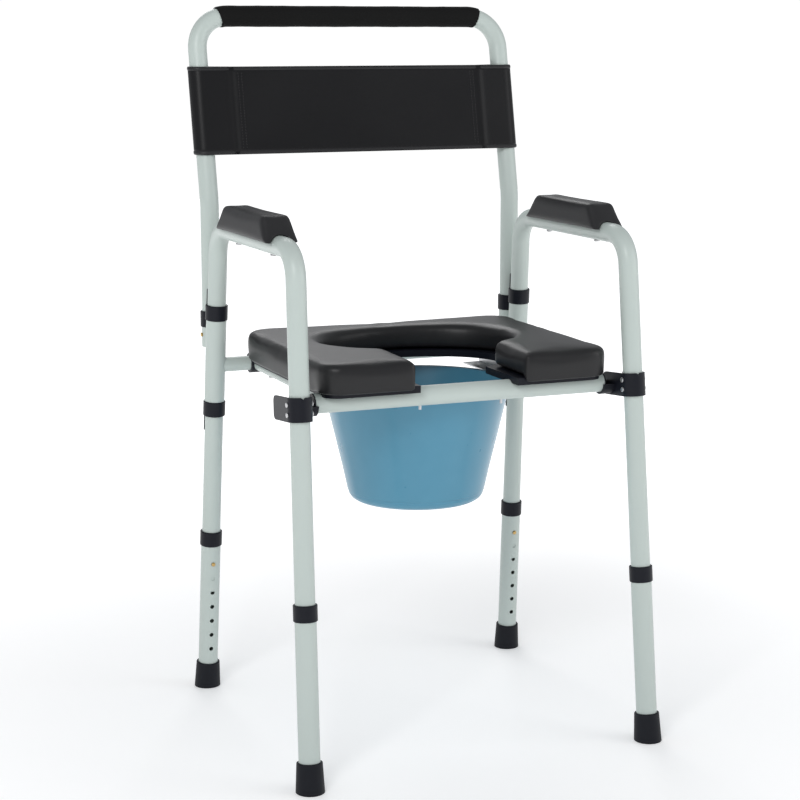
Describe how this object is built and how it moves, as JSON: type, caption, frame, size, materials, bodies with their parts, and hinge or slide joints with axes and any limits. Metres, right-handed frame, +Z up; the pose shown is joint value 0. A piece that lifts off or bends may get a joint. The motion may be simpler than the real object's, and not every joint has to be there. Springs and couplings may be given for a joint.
{
  "type": "commode chair",
  "caption": "Height-adjustable toilet chair with a padded open-front seat, sliding pail, padded arm rests and a lift-off backrest with a strap and foam grip.",
  "frame": {"origin": "floor level, under the middle of the whole chair seen from above", "axes": "+Z up; the sitter faces -Y; +X is to the right for a viewer in front of the chair"},
  "size_m": [0.562, 0.5554, 1.0523],
  "materials": {
    "frame_paint": "satin powder coat",
    "brass_buttons": "bright",
    "zinc_steel": "zinc plated",
    "black_rubber": "matte",
    "pad_foam": "moulded skin",
    "grip_foam": "fine foam",
    "black_vinyl": "grained vinyl",
    "seat_skin": "moulded skin",
    "blue_plastic": "translucent",
    "black_plastic": "moulded"
  },
  "bodies": {
    "frame": {"side_frame_left": "frame_paint", "arm_pad_left": "pad_foam", "arm_pad_screws_left": "zinc_steel", "front_clip_left": "black_plastic", "clip_rivets_left": "zinc_steel", "hinge_sleeve_left": "frame_paint", "upper_bushing_left": "black_plastic", "lower_bushing_left": "black_plastic", "back_socket_left": "frame_paint", "socket_collar_left": "black_plastic", "leg_spring_front_left": "zinc_steel", "leg_spring_rear_left": "zinc_steel", "side_frame_right": "frame_paint", "arm_pad_right": "pad_foam", "arm_pad_screws_right": "zinc_steel", "front_clip_right": "black_plastic", "clip_rivets_right": "zinc_steel", "hinge_sleeve_right": "frame_paint", "upper_bushing_right": "black_plastic", "lower_bushing_right": "black_plastic", "back_socket_right": "frame_paint", "socket_collar_right": "black_plastic", "leg_spring_front_right": "zinc_steel", "leg_spring_rear_right": "zinc_steel", "rear_cross_bar": "frame_paint"},
    "leg_front_left": {"lower_leg_front_left": "frame_paint", "leg_collar_front_left": "black_plastic", "rubber_foot_front_left": "black_rubber"},
    "leg_front_left_catch": {"leg_button_front_left": "brass_buttons"},
    "leg_front_right": {"lower_leg_front_right": "frame_paint", "leg_collar_front_right": "black_plastic", "rubber_foot_front_right": "black_rubber"},
    "leg_front_right_catch": {"leg_button_front_right": "brass_buttons"},
    "leg_rear_left": {"lower_leg_rear_left": "frame_paint", "leg_collar_rear_left": "black_plastic", "rubber_foot_rear_left": "black_rubber"},
    "leg_rear_left_catch": {"leg_button_rear_left": "brass_buttons"},
    "leg_rear_right": {"lower_leg_rear_right": "frame_paint", "leg_collar_rear_right": "black_plastic", "rubber_foot_rear_right": "black_rubber"},
    "leg_rear_right_catch": {"leg_button_rear_right": "brass_buttons"},
    "backrest": {"back_frame": "frame_paint", "foam_grip": "grip_foam", "back_strap": "black_vinyl", "back_spring_left": "zinc_steel", "back_spring_right": "zinc_steel"},
    "back_catch_left": {"back_button_left": "brass_buttons"},
    "back_catch_right": {"back_button_right": "brass_buttons"},
    "seat": {"front_bar": "frame_paint", "bar_plugs": "black_plastic", "seat_screws": "zinc_steel", "seat_rail_left": "frame_paint", "seat_rail_right": "frame_paint", "seat_hinge_left": "black_plastic", "seat_hinge_right": "black_plastic", "seat_board": "black_plastic", "seat_cushion": "seat_skin", "pail_rail_left": "zinc_steel", "pail_rail_right": "zinc_steel"},
    "pail": {"pail": "blue_plastic"}
  },
  "joints": [
    {"name": "leg_front_left_height", "type": "slide", "parent": "frame", "child": "leg_front_left", "axis": [0.0157, 0.1, 0.9949], "range_m": [0, 0.1398]},
    {"name": "leg_front_left_button", "type": "slide", "parent": "frame", "child": "leg_front_left_catch", "axis": [0.0016, -0.995, 0.1], "range_m": [0, 0.0032], "stiffness_N_per_m": 1500, "springref_m": -0.002, "deforming": ["leg_spring_front_left"]},
    {"name": "leg_front_right_height", "type": "slide", "parent": "frame", "child": "leg_front_right", "axis": [-0.0157, 0.1, 0.9949], "range_m": [0, 0.1398]},
    {"name": "leg_front_right_button", "type": "slide", "parent": "frame", "child": "leg_front_right_catch", "axis": [-0.0016, -0.995, 0.1], "range_m": [0, 0.0032], "stiffness_N_per_m": 1500, "springref_m": -0.002, "deforming": ["leg_spring_front_right"]},
    {"name": "leg_rear_left_height", "type": "slide", "parent": "frame", "child": "leg_rear_left", "axis": [0.0157, -0.0877, 0.996], "range_m": [0, 0.1398]},
    {"name": "leg_rear_left_button", "type": "slide", "parent": "frame", "child": "leg_rear_left_catch", "axis": [0.0014, 0.9962, 0.0876], "range_m": [0, 0.0032], "stiffness_N_per_m": 1500, "springref_m": -0.002, "deforming": ["leg_spring_rear_left"]},
    {"name": "leg_rear_right_height", "type": "slide", "parent": "frame", "child": "leg_rear_right", "axis": [-0.0157, -0.0877, 0.996], "range_m": [0, 0.1398]},
    {"name": "leg_rear_right_button", "type": "slide", "parent": "frame", "child": "leg_rear_right_catch", "axis": [-0.0014, 0.9962, 0.0876], "range_m": [0, 0.0032], "stiffness_N_per_m": 1500, "springref_m": -0.002, "deforming": ["leg_spring_rear_right"]},
    {"name": "backrest_lift_off", "type": "slide", "parent": "frame", "child": "backrest", "axis": [0, 0, 1], "range_m": [0, 0.26]},
    {"name": "back_button_left_press", "type": "slide", "parent": "backrest", "child": "back_catch_left", "axis": [1, 0, 0], "range_m": [0, 0.0034], "stiffness_N_per_m": 1500, "springref_m": -0.002, "deforming": ["back_spring_left"]},
    {"name": "back_button_right_press", "type": "slide", "parent": "backrest", "child": "back_catch_right", "axis": [-1, 0, 0], "range_m": [0, 0.0034], "stiffness_N_per_m": 1500, "springref_m": -0.002, "deforming": ["back_spring_right"]},
    {"name": "seat_flip_up", "type": "hinge", "parent": "frame", "child": "seat", "pos_m": [0, 0.17594, 0.518], "axis": [-1, 0, 0], "range_deg": [0, 80]},
    {"name": "pail_slide_out", "type": "slide", "parent": "seat", "child": "pail", "axis": [0, 1, 0], "range_m": [0, 0.36]}
  ]
}
